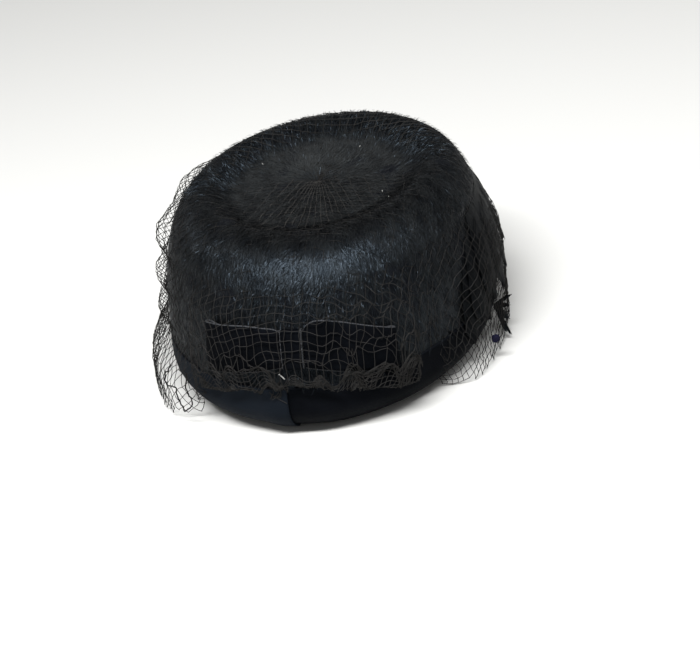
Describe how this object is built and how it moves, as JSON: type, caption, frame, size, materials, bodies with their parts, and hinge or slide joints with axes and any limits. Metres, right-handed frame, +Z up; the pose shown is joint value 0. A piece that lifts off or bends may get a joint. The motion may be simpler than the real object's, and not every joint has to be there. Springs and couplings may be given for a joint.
{
  "type": "pillbox hat",
  "caption": "Black fur felt pillbox hat with sunken tip, velvet ribbon band, flat bow at the back, feather wing at one side and a loose net veil.",
  "frame": {"origin": "middle of the whole hat's footprint, on the surface it rests on", "axes": "+Z up, +Y to the front of the hat, +X to the wearer's right; the bow faces -Y"},
  "size_m": [0.2428, 0.2728, 0.1244],
  "materials": {
    "felt_black": "long brushed fur nap with a soft blue-black sheen",
    "velvet_ribbon_black": "short velvet pile, woven grey edge",
    "feather_black": "fine barbs, soft gloss",
    "net_black": "dull twisted thread, faded brown-black",
    "chenille_navy": "fuzzy chenille"
  },
  "bodies": {
    "root": {"crown": "felt_black", "band": "velvet_ribbon_black", "bow_loop_left": "velvet_ribbon_black", "bow_loop_right": "velvet_ribbon_black", "bow_knot": "velvet_ribbon_black", "feather_wing": "feather_black", "feather_spray": "feather_black", "veil": "net_black", "veil_dot": "chenille_navy"}
  },
  "joints": []
}
